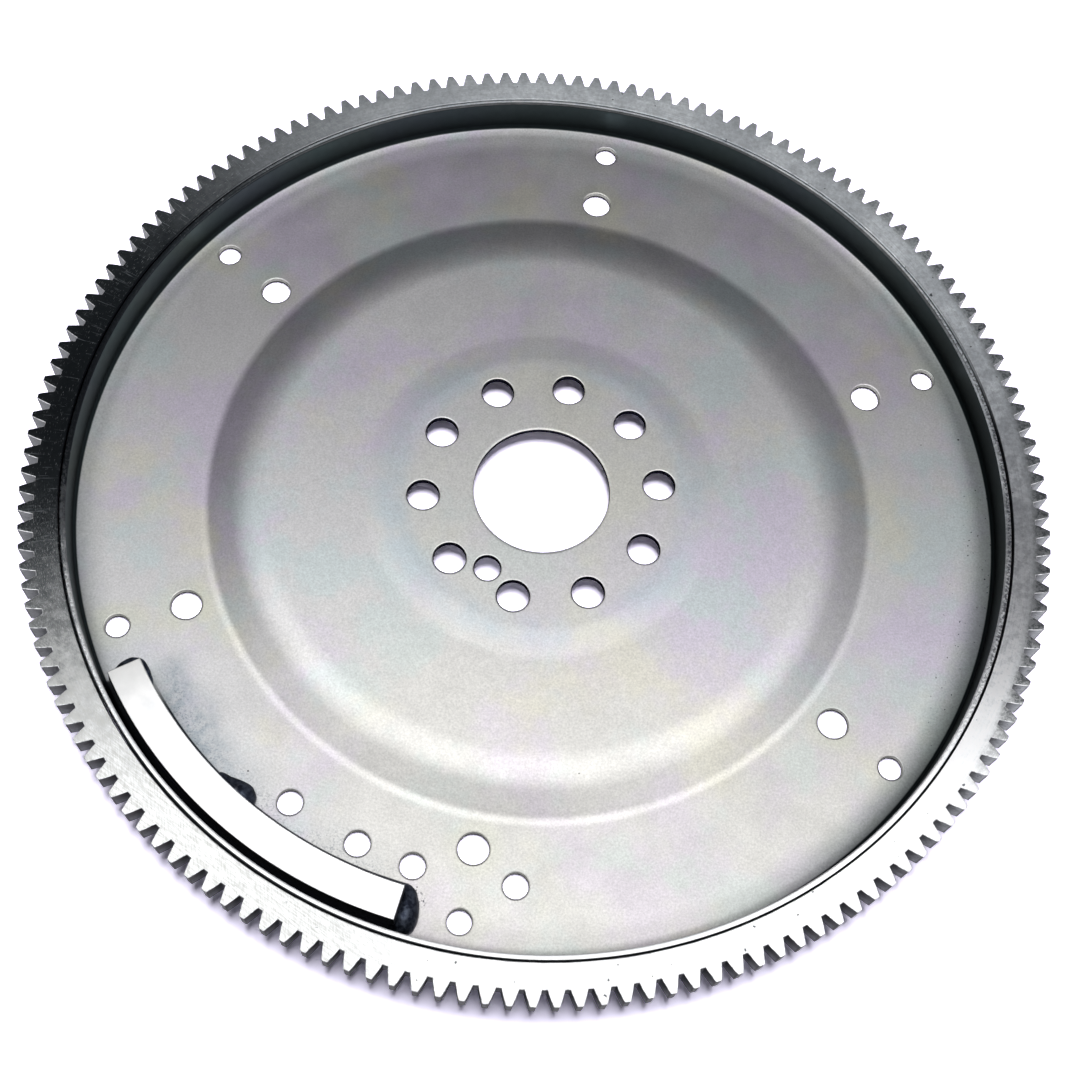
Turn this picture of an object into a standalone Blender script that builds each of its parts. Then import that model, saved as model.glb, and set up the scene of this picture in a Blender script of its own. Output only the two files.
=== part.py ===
# Flexplate: a stamped disc with a turned-up flange, a ring gear on the flange and a welded balance bar
# Metres, +Z up. The disc's axis is Z, and the underside of its flat outer band lies at z = 0
import math

import bmesh
import bpy
from mathutils import Matrix, Vector

# Sheet steel of the disc, and the clearance that separate pieces keep where they meet
SHEET = 0.0023
FIT_GAP = 0.0003

# Stamped section of the disc: radii of its bends, and how far its upper face stands over the outer band
BORE_RADIUS = 0.02685
HUB_RISE = 0.0059
HUB_FLAT_RADIUS = 0.0590
HUB_STEP_RUN = 0.0115
HUB_STEP_DROP = 0.0004
BAND_RUN = 0.0176
OUTER_BAND_WIDTH = 0.0504
BAND_HEAD_BEND = 0.034
BAND_FOOT_BEND = 0.014
CORNER_BEND = 0.0020

# Ring gear: teeth of a standard form, and the plain ring that carries them
TOOTH_COUNT = 155
MODULE = 0.00254
PRESSURE_ANGLE = math.radians(20)
ADDENDUM = 1.0
DEDENDUM = 1.25
RING_WALL = 0.009275
RING_BORE_CHAMFER = 0.0006
RING_THICKNESS = 0.0100
RING_FACE_HEIGHT = 0.0183
FLANGE_BELOW_FACE = 0.0002

# Holes: radius of the hole and angles in degrees, with the circle that they lie on. The outer three circles are
# given by how far they lie inside the flange
CRANK_CIRCLE = 0.0467
CRANK_HOLE = 0.0063
CRANK_COUNT = 10
CRANK_START = 14.12
LOCATING_CIRCLE = 0.0400
LOCATING_HOLE = 0.00515
CONVERTER_INSET = 0.0380
CONVERTER_HOLE = 0.0058
CONVERTER_COUNT = 6
CONVERTER_START = 30.0
OUTER_INSET = 0.0114
OUTER_HOLE = 0.0045
BALANCE_INSET = 0.0266
BALANCE_HOLE = 0.0047
BALANCE_ANGLES = (243.86, 254.57, 262.52, 276.43)

# Balance weight: square bar, bent tighter than the flange, with angles about its own bend centre, which lies
# off the disc's axis
BAR_SIZE = 0.0127
BAR_CORNER_GAP = 0.0010
BAR_SHIFT = 0.0048
BAR_SHIFT_ANGLE = 226.7
BAR_MIDDLE = 240.3
BAR_SPAN = 47.0

# Weld beads: width on the flat, height up the wall and length along the seam
BAR_BEAD_WIDTH = 0.0069
BAR_BEAD_HEIGHT = 0.0058
BAR_BEAD_LENGTH = 0.0180
BAR_BEAD_ANGLE = 237.6
END_BEAD_LENGTH = 0.0122
RING_BEAD_WIDTH = 0.0042
RING_BEAD_HEIGHT = 0.0040
RING_BEAD_LENGTH = 0.0260
RING_BEAD_COUNT = 8
RING_BEAD_START = 7.5

# Fineness of the round shapes
DISC_SEGMENTS = 90
HOLE_SEGMENTS = 18
SMALL_HOLE_SEGMENTS = 14
BAR_SEGMENTS = 18

# Sizes that follow from the ones above
PITCH_RADIUS = MODULE * TOOTH_COUNT / 2
TIP_RADIUS = PITCH_RADIUS + ADDENDUM * MODULE
ROOT_RADIUS = PITCH_RADIUS - DEDENDUM * MODULE
RING_BORE_RADIUS = ROOT_RADIUS - RING_WALL
RING_UNDERSIDE = RING_FACE_HEIGHT - RING_THICKNESS
FLANGE_OUTER = RING_BORE_RADIUS - FIT_GAP
FLANGE_INNER = FLANGE_OUTER - SHEET
FLANGE_TOP = RING_FACE_HEIGHT - FLANGE_BELOW_FACE
PLATEAU_RISE = HUB_RISE - HUB_STEP_DROP
BAND_FOOT_RADIUS = FLANGE_INNER - OUTER_BAND_WIDTH
CONVERTER_CIRCLE = FLANGE_INNER - CONVERTER_INSET
OUTER_CIRCLE = FLANGE_INNER - OUTER_INSET
BALANCE_CIRCLE = FLANGE_INNER - BALANCE_INSET
BAR_OUTER_BEND = FLANGE_INNER - CORNER_BEND - BAR_CORNER_GAP - BAR_SHIFT


def clear_scene():
    for item in list(bpy.data.objects):
        bpy.data.objects.remove(item, do_unlink=True)


def make_material(name, colour, roughness):
    material = bpy.data.materials.new(name)
    material.use_nodes = True
    shader = material.node_tree.nodes["Principled BSDF"]
    shader.inputs["Base Color"].default_value = (*colour, 1.0)
    shader.inputs["Roughness"].default_value = roughness
    shader.inputs["Metallic"].default_value = 1.0
    return material


def add_object(name, mesh_builder, material, sharp_angle=30):
    # Turns a finished bmesh into a named object with its faces pointing out
    bmesh.ops.recalc_face_normals(mesh_builder, faces=mesh_builder.faces)
    mesh = bpy.data.meshes.new(name)
    mesh_builder.to_mesh(mesh)
    mesh_builder.free()
    mesh.materials.append(material)
    mesh.shade_smooth()
    mesh.set_sharp_from_angle(angle=math.radians(sharp_angle))
    item = bpy.data.objects.new(name, mesh)
    bpy.context.collection.objects.link(item)
    return item


def polar(radius, angle, height=0.0):
    return Vector((radius * math.cos(angle), radius * math.sin(angle), height))


def bend(before, corner, after, radius, steps):
    # Points of an arc that rounds one corner of a section line
    arriving = (corner - before).normalized()
    leaving = (after - corner).normalized()
    turn = arriving.angle_signed(leaving)
    reach = radius * math.tan(abs(turn) / 2)
    start = corner - arriving * reach
    side = math.copysign(1, turn)
    centre = start + Vector((arriving.y, -arriving.x)) * radius * side
    points = []
    for step in range(steps + 1):
        swing = Matrix.Rotation(-turn * step / steps, 2)
        points.append(centre + swing @ (start - centre))
    return points


def disc_section():
    # Middle line of the sheet from the bore to the flange's rim, then its two faces half a sheet away
    middle = SHEET / 2
    flange = FLANGE_INNER + middle
    hub = Vector((BORE_RADIUS, HUB_RISE + middle))
    hub_edge = Vector((HUB_FLAT_RADIUS, HUB_RISE + middle))
    plateau = Vector((HUB_FLAT_RADIUS + HUB_STEP_RUN, PLATEAU_RISE + middle))
    band_head = Vector((BAND_FOOT_RADIUS - BAND_RUN, PLATEAU_RISE + middle))
    band_foot = Vector((BAND_FOOT_RADIUS, middle))
    corner = Vector((flange, middle))
    rim = Vector((flange, FLANGE_TOP))
    line = [hub, hub_edge, plateau]
    line += bend(plateau, band_head, band_foot, BAND_HEAD_BEND, 2)
    line += bend(band_head, band_foot, corner, BAND_FOOT_BEND, 1)
    line += bend(band_foot, corner, rim, CORNER_BEND + middle, 2)
    line.append(rim)
    upper = []
    lower = []
    for index, point in enumerate(line):
        arriving = (point - line[max(index - 1, 0)]).normalized()
        leaving = (line[min(index + 1, len(line) - 1)] - point).normalized()
        along = (arriving + leaving).normalized()
        across = Vector((-along.y, along.x))
        straight = leaving if leaving.length else arriving
        half = middle / max(along.dot(straight), 0.5)
        upper.append(point + across * half)
        lower.append(point - across * half)
    return upper + lower[::-1]


def hole_positions():
    # Every drilled or punched hole: circle radius, angle, hole radius and number of sides
    holes = []
    for index in range(CRANK_COUNT):
        angle = CRANK_START + index * 360 / CRANK_COUNT
        holes.append((CRANK_CIRCLE, angle, CRANK_HOLE, HOLE_SEGMENTS))
    # The locating hole lies midway between two crank holes
    locating = CRANK_START + 6.5 * 360 / CRANK_COUNT
    holes.append((LOCATING_CIRCLE, locating, LOCATING_HOLE, HOLE_SEGMENTS))
    for index in range(CONVERTER_COUNT):
        angle = CONVERTER_START + index * 360 / CONVERTER_COUNT
        holes.append((CONVERTER_CIRCLE, angle, CONVERTER_HOLE, HOLE_SEGMENTS))
        holes.append((OUTER_CIRCLE, angle, OUTER_HOLE, SMALL_HOLE_SEGMENTS))
    for angle in BALANCE_ANGLES:
        holes.append((BALANCE_CIRCLE, angle, BALANCE_HOLE, SMALL_HOLE_SEGMENTS))
    return holes


def make_hole_cutter():
    cutter = bmesh.new()
    depth = 4 * (HUB_RISE + SHEET)
    for circle, angle, radius, segments in hole_positions():
        place = Matrix.Translation(polar(circle, math.radians(angle), HUB_RISE / 2))
        bmesh.ops.create_cone(cutter, cap_ends=True, segments=segments, radius1=radius,
                              radius2=radius, depth=depth, matrix=place)
    mesh = bpy.data.meshes.new("hole_cutter")
    cutter.to_mesh(mesh)
    cutter.free()
    item = bpy.data.objects.new("hole_cutter", mesh)
    bpy.context.collection.objects.link(item)
    item.hide_render = True
    item.display_type = "WIRE"
    return item


def make_disc():
    # The section is spun once round the axis, and the holes are then cut through the sheet
    builder = bmesh.new()
    corners = [builder.verts.new((point.x, 0, point.y)) for point in disc_section()]
    edges = [builder.edges.new((corners[index - 1], corners[index])) for index in range(len(corners))]
    bmesh.ops.spin(builder, geom=corners + edges, axis=(0, 0, 1), cent=(0, 0, 0),
                   steps=DISC_SEGMENTS, angle=math.tau, use_merge=True)
    zinc = make_material("zinc_plated_sheet", (0.56, 0.55, 0.57), 0.42)
    disc = add_object("stamped_disc", builder, zinc)
    cut = disc.modifiers.new("holes", "BOOLEAN")
    cut.operation = "DIFFERENCE"
    cut.solver = "EXACT"
    cut.object = make_hole_cutter()


def involute(angle):
    return math.tan(angle) - angle


def tooth_half_angle(radius):
    # Half of the angle that a tooth covers at this radius, on an involute flank
    base_radius = PITCH_RADIUS * math.cos(PRESSURE_ANGLE)
    slope = math.acos(min(base_radius / radius, 1.0))
    return math.pi / (2 * TOOTH_COUNT) + involute(PRESSURE_ANGLE) - involute(slope)


def tooth_outline():
    # One tooth centred on angle zero, from its right root to its left root
    radii = (ROOT_RADIUS, PITCH_RADIUS, TIP_RADIUS)
    flank = [(radius, -tooth_half_angle(radius)) for radius in radii]
    return flank + [(radius, -angle) for radius, angle in reversed(flank)]


def add_loop(builder, points, height):
    return [builder.verts.new(polar(radius, angle, height)) for radius, angle in points]


def join_loops(builder, first, second):
    for index in range(len(first)):
        builder.faces.new((first[index - 1], first[index], second[index], second[index - 1]))


def fill_sectors(builder, outline, bore, points_per_tooth):
    # Flat faces between the toothed outline and the bore: one for each tooth and one for each gap
    for tooth in range(TOOTH_COUNT):
        start = tooth * points_per_tooth
        edge = outline[start:start + points_per_tooth]
        builder.faces.new([bore[tooth - 1], *edge, bore[tooth]])
        builder.faces.new([bore[tooth], edge[-1], outline[(start + points_per_tooth) % len(outline)]])


def make_ring_gear():
    builder = bmesh.new()
    pitch = math.tau / TOOTH_COUNT
    tooth = tooth_outline()
    outline = [(radius, angle + index * pitch) for index in range(TOOTH_COUNT) for radius, angle in tooth]
    gaps = [(index + 0.5) * pitch for index in range(TOOTH_COUNT)]
    lip = [(RING_BORE_RADIUS + RING_BORE_CHAMFER, angle) for angle in gaps]
    bore = [(RING_BORE_RADIUS, angle) for angle in gaps]
    face_outline = add_loop(builder, outline, RING_FACE_HEIGHT)
    back_outline = add_loop(builder, outline, RING_UNDERSIDE)
    face_lip = add_loop(builder, lip, RING_FACE_HEIGHT)
    bore_top = add_loop(builder, bore, RING_FACE_HEIGHT - RING_BORE_CHAMFER)
    bore_bottom = add_loop(builder, bore, RING_UNDERSIDE)
    fill_sectors(builder, face_outline, face_lip, len(tooth))
    fill_sectors(builder, back_outline, bore_bottom, len(tooth))
    join_loops(builder, back_outline, face_outline)
    join_loops(builder, bore_top, face_lip)
    join_loops(builder, bore_bottom, bore_top)
    add_object("ring_gear", builder, make_material("machined_steel", (0.50, 0.51, 0.52), 0.35))


def bar_frame(degrees, radius):
    # A point at the bar's foot, with the directions along the bar and away from its bend centre. The centre is
    # shifted so that the bar's outer face stands just clear of the bend at the flange's foot
    angle = math.radians(degrees)
    outward = polar(1, angle)
    along = polar(1, angle + math.pi / 2)
    foot = polar(BAR_SHIFT, math.radians(BAR_SHIFT_ANGLE)) + outward * radius
    foot.z = SHEET + FIT_GAP
    return foot, along, outward


def make_weight():
    builder = bmesh.new()
    sections = []
    for index in range(BAR_SEGMENTS + 1):
        degrees = BAR_MIDDLE + BAR_SPAN * (index / BAR_SEGMENTS - 0.5)
        foot, along, outward = bar_frame(degrees, BAR_OUTER_BEND)
        rise = Vector((0, 0, BAR_SIZE))
        inner = foot - outward * BAR_SIZE
        corners = (foot, foot + rise, inner + rise, inner)
        sections.append([builder.verts.new(corner) for corner in corners])
    for before, after in zip(sections, sections[1:]):
        join_loops(builder, before, after)
    builder.faces.new(sections[0])
    builder.faces.new(sections[-1])
    add_object("balance_weight", builder, make_material("bright_bar", (0.72, 0.72, 0.71), 0.30))


def make_bead(name, seam, width, height, material, stations=8, spans=4):
    # A bead in the corner of two faces: seam(t) gives the corner and the directions along both faces
    builder = bmesh.new()
    sections = []
    for index in range(stations + 1):
        t = 0.04 + 0.92 * index / stations
        size = math.sqrt(4 * t * (1 - t))
        corner, flat, wall = seam(t)
        root = corner + (flat + wall) * FIT_GAP
        points = [root]
        for step in range(spans + 1):
            turn = math.pi / 2 * step / spans
            points.append(root + flat * width * size * math.cos(turn) + wall * height * size * math.sin(turn))
        sections.append([builder.verts.new(point) for point in points])
    for before, after in zip(sections, sections[1:]):
        join_loops(builder, before, after)
    builder.faces.new(sections[0])
    builder.faces.new(sections[-1])
    add_object(name, builder, material, sharp_angle=50)


def make_bar_beads():
    burnt = make_material("burnt_weld", (0.10, 0.10, 0.13), 0.38)
    up = Vector((0, 0, 1))
    inner_radius = BAR_OUTER_BEND - BAR_SIZE
    sweep = math.degrees(BAR_BEAD_LENGTH / inner_radius)

    def inner_seam(t):
        foot, along, outward = bar_frame(BAR_BEAD_ANGLE + sweep * (t - 0.5), inner_radius)
        foot.z = SHEET
        return foot, -outward, up

    def end_seam(side):
        def seam(t):
            middle_radius = BAR_OUTER_BEND - BAR_SIZE / 2
            foot, along, outward = bar_frame(BAR_MIDDLE + side * BAR_SPAN / 2, middle_radius)
            foot += outward * END_BEAD_LENGTH * (t - 0.5)
            foot.z = SHEET
            return foot, along * side, up
        return seam

    make_bead("weight_weld_inner", inner_seam, BAR_BEAD_WIDTH, BAR_BEAD_HEIGHT, burnt)
    make_bead("weight_weld_left_end", end_seam(-1), BAR_BEAD_WIDTH, BAR_BEAD_HEIGHT, burnt)
    make_bead("weight_weld_right_end", end_seam(1), BAR_BEAD_WIDTH, BAR_BEAD_HEIGHT, burnt)


def make_ring_beads():
    # Stitches behind the ring, in the corner of its underside and the flange's outer wall
    bare = make_material("ring_weld", (0.22, 0.22, 0.24), 0.40)
    down = Vector((0, 0, -1))
    sweep = RING_BEAD_LENGTH / FLANGE_OUTER

    def stitch(middle):
        def seam(t):
            outward = polar(1, middle + sweep * (t - 0.5))
            corner = outward * FLANGE_OUTER
            corner.z = RING_UNDERSIDE
            return corner, outward, down
        return seam

    for index in range(RING_BEAD_COUNT):
        middle = math.radians(RING_BEAD_START + index * 360 / RING_BEAD_COUNT)
        make_bead(f"ring_weld_{index + 1}", stitch(middle), RING_BEAD_WIDTH, RING_BEAD_HEIGHT, bare,
                  stations=6, spans=3)


clear_scene()
make_disc()
make_ring_gear()
make_weight()
make_bar_beads()
make_ring_beads()
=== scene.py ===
import math

import bmesh
import bpy
from mathutils import Matrix, Vector


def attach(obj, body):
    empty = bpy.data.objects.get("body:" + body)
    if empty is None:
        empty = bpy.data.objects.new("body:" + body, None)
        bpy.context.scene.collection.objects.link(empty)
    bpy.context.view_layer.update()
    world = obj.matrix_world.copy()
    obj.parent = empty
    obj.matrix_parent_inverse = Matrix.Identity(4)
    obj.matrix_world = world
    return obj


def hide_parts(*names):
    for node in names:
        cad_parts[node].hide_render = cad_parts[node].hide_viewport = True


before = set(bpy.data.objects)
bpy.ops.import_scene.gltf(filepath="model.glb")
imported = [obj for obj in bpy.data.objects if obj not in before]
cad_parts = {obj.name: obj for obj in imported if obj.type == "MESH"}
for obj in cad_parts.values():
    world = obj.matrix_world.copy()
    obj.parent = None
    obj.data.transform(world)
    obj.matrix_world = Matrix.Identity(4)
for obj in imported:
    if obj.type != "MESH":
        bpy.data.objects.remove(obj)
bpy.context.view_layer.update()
print("frame loaded:", len(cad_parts), "pieces")


# Camera at the photo's angle

cameraSettings = {
    "place": (0.01157, -0.28195, 0.57536),
    "turn": (0.4263, -0.0628, 0.1702),
    "lens": 53.57,
}


def makeCamera(settings):
    bpy.ops.object.camera_add(location=settings["place"], rotation=settings["turn"])
    camera = bpy.context.object
    camera.name = "photoCamera"
    camera.data.lens = settings["lens"]
    camera.data.sensor_width = 36
    camera.data.clip_start = 0.01
    bpy.context.scene.camera = camera


makeCamera(cameraSettings)
print("camera set")


# Small helpers for modelling

def deselectAll():
    if bpy.context.object and bpy.context.object.mode != "OBJECT":
        bpy.ops.object.mode_set(mode="OBJECT")
    bpy.ops.object.select_all(action="DESELECT")


def makeActive(*pieces):
    deselectAll()
    for piece in pieces:
        piece.select_set(True)
    bpy.context.view_layer.objects.active = pieces[0]


def joinAll(pieces):
    makeActive(*pieces)
    bpy.ops.object.join()
    return bpy.context.object


def startEdit(piece, kind="VERT"):
    makeActive(piece)
    bpy.ops.object.mode_set(mode="EDIT")
    bpy.ops.mesh.select_mode(type=kind)
    bpy.ops.mesh.select_all(action="DESELECT")


def endEdit():
    bpy.ops.object.mode_set(mode="OBJECT")


def pickVerts(piece, wanted):
    # Selects the corners for which wanted(position) is true
    work = bmesh.from_edit_mesh(piece.data)
    for vert in work.verts:
        vert.select_set(wanted(vert.co))
    work.select_flush_mode()
    work.select_flush(True)
    bmesh.update_edit_mesh(piece.data)


def pickEdges(piece, wanted):
    work = bmesh.from_edit_mesh(piece.data)
    for edge in work.edges:
        edge.select_set(wanted(edge.verts[0].co, edge.verts[1].co))
    work.select_flush_mode()
    bmesh.update_edit_mesh(piece.data)


def applyModifier(piece, name):
    makeActive(piece)
    bpy.ops.object.modifier_apply(modifier=name)


def addBevel(piece, width, segments=2, angle=40):
    bevel = piece.modifiers.new("edgeBreak", "BEVEL")
    bevel.width = width
    bevel.segments = segments
    bevel.limit_method = "ANGLE"
    bevel.angle_limit = math.radians(angle)
    applyModifier(piece, "edgeBreak")


def smoothPiece(piece, angle=32):
    makeActive(piece)
    bpy.ops.object.shade_smooth_by_angle(angle=math.radians(angle))


def weightNormals(piece):
    # Large flat faces keep their own normals beside narrow rounded edges
    weighted = piece.modifiers.new("flatFaces", "WEIGHTED_NORMAL")
    weighted.keep_sharp = True
    weighted.weight = 100
    applyModifier(piece, "flatFaces")


def setPlace(piece):
    makeActive(piece)
    bpy.ops.object.transform_apply(location=True, rotation=True, scale=True)


def finishPiece(piece, name, material, slotName, *replaced):
    setPlace(piece)
    piece.name = name
    piece.data.name = name
    piece.data.materials.clear()
    piece.data.materials.append(material)
    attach(piece, "root")
    if replaced:
        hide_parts(*replaced)
    print(name, len(piece.data.polygons), "faces")


def ringPoint(radius, degrees, height=0.0):
    angle = math.radians(degrees)
    return Vector((radius * math.cos(angle), radius * math.sin(angle), height))


# Small helpers for materials

class NodeBench:
    # Adds shader nodes to a material or a world by short calls
    def __init__(self, owner):
        owner.use_nodes = True
        self.owner = owner
        self.tree = owner.node_tree
        self.shader = self.tree.nodes.get("Principled BSDF")
        self.column = 0

    def add(self, kind, **values):
        node = self.tree.nodes.new(kind)
        node.location = (-300 - 180 * (self.column % 8), 300 - 200 * (self.column // 8))
        self.column += 1
        for key, value in values.items():
            setattr(node, key, value)
        return node

    def link(self, source, target):
        self.tree.links.new(source, target)

    def feed(self, socket, value):
        # A socket takes a colour, a number, another node's output, or such an output with its ramp
        if isinstance(value, tuple) and isinstance(value[0], bpy.types.NodeSocket):
            self.link(self.remap(*value), socket)
        elif isinstance(value, tuple):
            socket.default_value = (*value, 1.0)
        elif isinstance(value, (int, float)):
            socket.default_value = value
        else:
            self.link(value, socket)

    def math(self, operation, *values, clamp=False):
        node = self.add("ShaderNodeMath", operation=operation, use_clamp=clamp)
        for socket, value in zip(node.inputs, values):
            self.feed(socket, value)
        return node.outputs[0]

    def times(self, first, *others):
        for other in others:
            first = self.math("MULTIPLY", first, other)
        return first

    def plus(self, first, second):
        return self.math("ADD", first, second)

    def minus(self, first, second):
        return self.math("SUBTRACT", first, second)

    def wobble(self, value, noise, amount):
        # Moves a value up and down by a noise
        return self.plus(value, self.times(self.minus(noise, 0.5), amount))

    def reach(self, x, y):
        # Distance from the axis
        return self.math("SQRT", self.plus(self.times(x, x), self.times(y, y)))

    def polar(self, x, y, centre=(0, 0)):
        # Radius about a centre, and the angle counted both ways from its left
        x, y = self.minus(x, centre[0]), self.minus(y, centre[1])
        return self.reach(x, y), self.math("ARCTAN2", self.times(y, -1.0), self.times(x, -1.0))

    def remap(self, value, low, high, toLow=0, toHigh=1, smooth=True):
        node = self.add("ShaderNodeMapRange", interpolation_type="SMOOTHSTEP" if smooth else "LINEAR")
        for socket, number in zip(node.inputs, (value, low, high, toLow, toHigh)):
            self.feed(socket, number)
        return node.outputs[0]

    def window(self, value, rise, fall):
        # Rises to 1 over the first pair of values and falls over the second, given from outside inwards
        return self.times(self.remap(value, *rise), self.remap(value, *fall))

    def noise(self, vector, scale, detail=3, rough=0.55):
        node = self.add("ShaderNodeTexNoise")
        for name, value in (("Vector", vector), ("Scale", scale), ("Detail", detail), ("Roughness", rough)):
            self.feed(node.inputs[name], value)
        return node.outputs[0]

    def drawnNoise(self, parts, scales, detail, rough):
        # Noise drawn out by a scale of its own along each axis
        return self.noise(self.combine(*map(self.times, parts, scales)), 1.0, detail, rough)

    def combine(self, *values):
        node = self.add("ShaderNodeCombineXYZ")
        for socket, value in zip(node.inputs, values):
            self.feed(socket, value)
        return node.outputs[0]

    def mix(self, factor, first, second, blend="MIX"):
        node = self.add("ShaderNodeMix", data_type="RGBA", blend_type=blend)
        for slot, value in ((0, factor), (6, first), (7, second)):
            self.feed(node.inputs[slot], value)
        return node.outputs[2]

    def paint(self, colour, coat, *masks):
        # Lays a coat over a colour where all its masks are up
        return self.mix(self.times(*masks), colour, coat)

    def dim(self, colour, *factors):
        # Multiplies a colour by one factor, or by one for each channel
        factors = factors * 3 if len(factors) == 1 else factors
        return self.mix(1.0, colour, self.combine(*factors), "MULTIPLY")

    def objectSpace(self):
        coordinates = self.add("ShaderNodeTexCoord")
        parts = self.add("ShaderNodeSeparateXYZ")
        self.link(coordinates.outputs["Object"], parts.inputs[0])
        return (coordinates.outputs["Object"], *parts.outputs)

    def finishMetal(self, colour, rough, height=None, strength=0.0, distance=0.0002):
        # Joins colour, roughness and bump to the shader
        self.link(colour, self.shader.inputs["Base Color"])
        self.feed(self.shader.inputs["Roughness"], rough)
        self.shader.inputs["Metallic"].default_value = 1.0
        if height:
            node = self.add("ShaderNodeBump")
            for name, value in (("Strength", strength), ("Distance", distance), ("Height", height)):
                self.feed(node.inputs[name], value)
            self.link(node.outputs[0], self.shader.inputs["Normal"])
        return self.owner


def newBench(name):
    return NodeBench(bpy.data.materials.new(name))


# Stamped disc

discSettings = {
    "sheet": 0.0023,
    "around": 288,
    "boreRadius": 0.02685,
    "hubRise": 0.0059,
    "plateauRise": 0.0055,
    "hubFlatRadius": 0.0590,
    "hubStepRun": 0.0115,
    "hubStepBend": 0.090,
    "bandHeadRadius": 0.1138,
    "bandFootRadius": 0.1314,
    "bandHeadBend": 0.046,
    "bandFootBend": 0.014,
    "flangeInner": 0.1818,
    "flangeTop": 0.0181,
    "cornerBend": 0.0020,
    "boreBreak": 0.0003,
    "rimBreak": 0.00045,
    "holeSides": 56,
    "rollWidth": 0.0007,
    "rollDepth": 0.00028,
    "neckWidth": 0.0003,
    "neckDepth": 0.00017,
    "curlStart": 0.1715,
    "curlMiddle": (0.1783, 0.00040),
    "curlEnd": 0.0014,
    "curlBends": (0.09, 0.02),
    "bendSteps": (5, 5, 10, 7, 4, 4, 9),
    "bendMargin": 0.0006,
    "rimMargin": 0.0012,
    "crankHoles": {"circle": 0.0467, "radius": 0.0063, "count": 10, "start": 14.12},
    "locatingHole": {"circle": 0.0400, "radius": 0.00515, "angle": 248.12},
    "converterHoles": {"circle": 0.1438, "radius": 0.0058, "count": 6, "start": 30.0},
    "outerHoles": {"circle": 0.1704, "radius": 0.0045, "count": 6, "start": 30.0},
    "balanceHoles": {"circle": 0.1552, "radius": 0.0047, "angles": (243.86, 254.57, 262.52, 276.43)},
}


def roundCorner(before, corner, after, radius, steps):
    # Points of an arc that rounds one corner of a section line
    arriving = (corner - before).normalized()
    leaving = (after - corner).normalized()
    turn = arriving.angle_signed(leaving)
    reach = radius * math.tan(abs(turn) / 2)
    start = corner - arriving * reach
    side = math.copysign(1, turn)
    centre = start + Vector((arriving.y, -arriving.x)) * radius * side
    return [centre + Matrix.Rotation(-turn * step / steps, 2) @ (start - centre) for step in range(steps + 1)]


def discLine(settings):
    # Middle line of the sheet from the bore to the flange's rim, as radius and height
    half = settings["sheet"] / 2
    hubEdge = settings["hubFlatRadius"]
    stepFoot = hubEdge + settings["hubStepRun"]
    corners = [
        Vector((settings["boreRadius"], settings["hubRise"] + half)),
        Vector((hubEdge, settings["hubRise"] + half)),
        Vector((stepFoot, settings["plateauRise"] + half)),
        Vector((settings["bandHeadRadius"], settings["plateauRise"] + half)),
        Vector((settings["bandFootRadius"], half)),
        Vector((settings["curlStart"], half)),
        Vector((settings["curlMiddle"][0], half + settings["curlMiddle"][1])),
        Vector((settings["flangeInner"] + half, half + settings["curlEnd"])),
        Vector((settings["flangeInner"] + half, settings["flangeTop"])),
    ]
    bends = (settings["hubStepBend"], settings["hubStepBend"], settings["bandHeadBend"],
             settings["bandFootBend"], *settings["curlBends"], settings["cornerBend"] + half)
    arcs = [roundCorner(*corners[index:index + 3], bend, steps)
            for index, (bend, steps) in enumerate(zip(bends, settings["bendSteps"]))]
    line = [corners[0], corners[0] + Vector((settings["rimMargin"], 0))]
    margin = settings["bendMargin"]
    for index, arc in enumerate(arcs):
        # A ring of edges just before and after each bend keeps the flats flat
        if index == 0 or (arc[0] - arcs[index - 1][-1]).length > 0.002:
            line.append(arc[0] + (corners[index] - corners[index + 1]).normalized() * margin)
        line += arc
        if index == len(arcs) - 1 or (arcs[index + 1][0] - arc[-1]).length > 0.002:
            line.append(arc[-1] + (corners[index + 2] - corners[index + 1]).normalized() * margin)
    line.append(corners[-1] - Vector((0, settings["rimMargin"])))
    line.append(corners[-1])
    return line


def holePlaces(settings):
    places = []
    for key in ("crankHoles", "converterHoles", "outerHoles"):
        group = settings[key]
        for index in range(group["count"]):
            angle = group["start"] + index * 360 / group["count"]
            places.append((group["circle"], angle, group["radius"]))
    single = settings["locatingHole"]
    places.append((single["circle"], single["angle"], single["radius"]))
    group = settings["balanceHoles"]
    for angle in group["angles"]:
        places.append((group["circle"], angle, group["radius"]))
    return places


def makePunch(settings, circle, angle, radius):
    # A straight punch whose shoulder leaves a shallow roll round the hole's upper edge
    face = (settings["hubRise"] if circle < settings["hubFlatRadius"] else 0) + settings["sheet"]
    roll = settings["rollDepth"]
    place = ringPoint(circle, angle)
    deselectAll()
    bpy.ops.mesh.primitive_cylinder_add(vertices=settings["holeSides"], radius=radius, depth=0.02,
                                        location=place + Vector((0, 0, face - roll - 0.01)))
    punch = bpy.context.object
    setPlace(punch)
    startEdit(punch, "FACE")
    pickVerts(punch, lambda spot: spot.z > face - roll - 0.001)
    # A short steep neck comes first, then the wider shallow roll
    neck = radius + settings["neckWidth"]
    bpy.ops.mesh.extrude_region_move(TRANSFORM_OT_translate={"value": (0, 0, settings["neckDepth"])})
    bpy.ops.transform.resize(value=(neck / radius, neck / radius, 1), center_override=place)
    bpy.ops.mesh.extrude_region_move(TRANSFORM_OT_translate={"value": (0, 0, roll - settings["neckDepth"])})
    spread = (radius + settings["rollWidth"]) / neck
    bpy.ops.transform.resize(value=(spread, spread, 1), center_override=place)
    bpy.ops.mesh.extrude_region_move(TRANSFORM_OT_translate={"value": (0, 0, 0.01)})
    endEdit()
    return punch


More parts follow.
